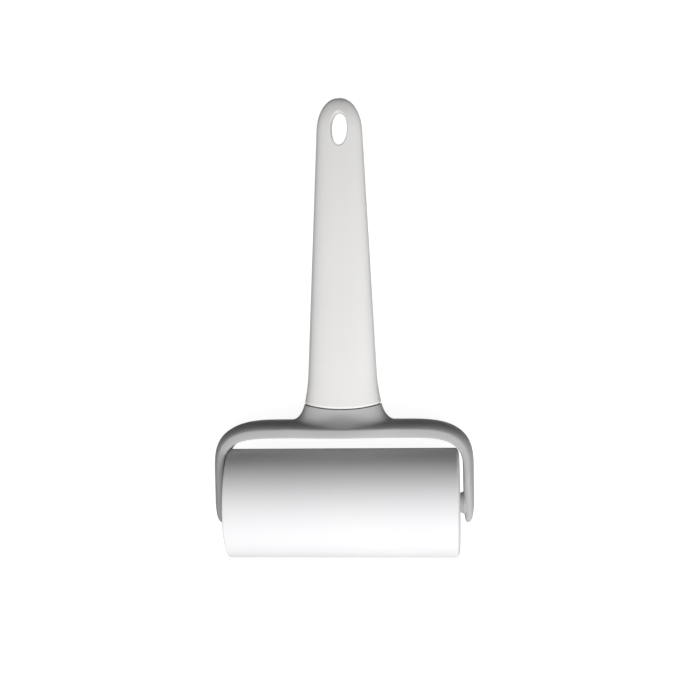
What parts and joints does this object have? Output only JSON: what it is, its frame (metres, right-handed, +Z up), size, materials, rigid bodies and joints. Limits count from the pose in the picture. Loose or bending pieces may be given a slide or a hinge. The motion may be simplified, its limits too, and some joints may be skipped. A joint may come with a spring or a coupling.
{
  "type": "dough roller",
  "caption": "Hand dough roller: a smooth cylindrical barrel turns freely between the arms of a bow-shaped yoke, with a flattened, tapered handle that has an oval hang hole in its round end.",
  "frame": {"origin": "bottom centre of the bounding box, on the table that the tool lies on", "axes": "+X along the roller's axle, +Y from the roller to the handle's end, +Z up from the table"},
  "size_m": [0.116, 0.2038, 0.0488],
  "materials": {
    "handle_white": "satin moulded white",
    "roller_white": "smooth matte white",
    "yoke_grey": "satin moulded light grey",
    "bearing_nylon": "natural nylon",
    "steel": "drawn bright steel"
  },
  "bodies": {
    "frame": {"handle": "handle_white", "yoke": "yoke_grey", "handle_screw": "steel", "axle": "steel", "thrust_washer_left": "bearing_nylon", "thrust_washer_right": "bearing_nylon"},
    "roller": {"roller_barrel": "roller_white", "end_cap_left": "roller_white", "end_cap_right": "roller_white", "bearing_bush_left": "bearing_nylon", "bearing_bush_right": "bearing_nylon"}
  },
  "joints": [
    {"name": "roller_spin", "type": "hinge", "parent": "frame", "child": "roller", "pos_m": [0, -0.07748, 0.0244], "axis": [1, 0, 0], "continuous": true}
  ]
}
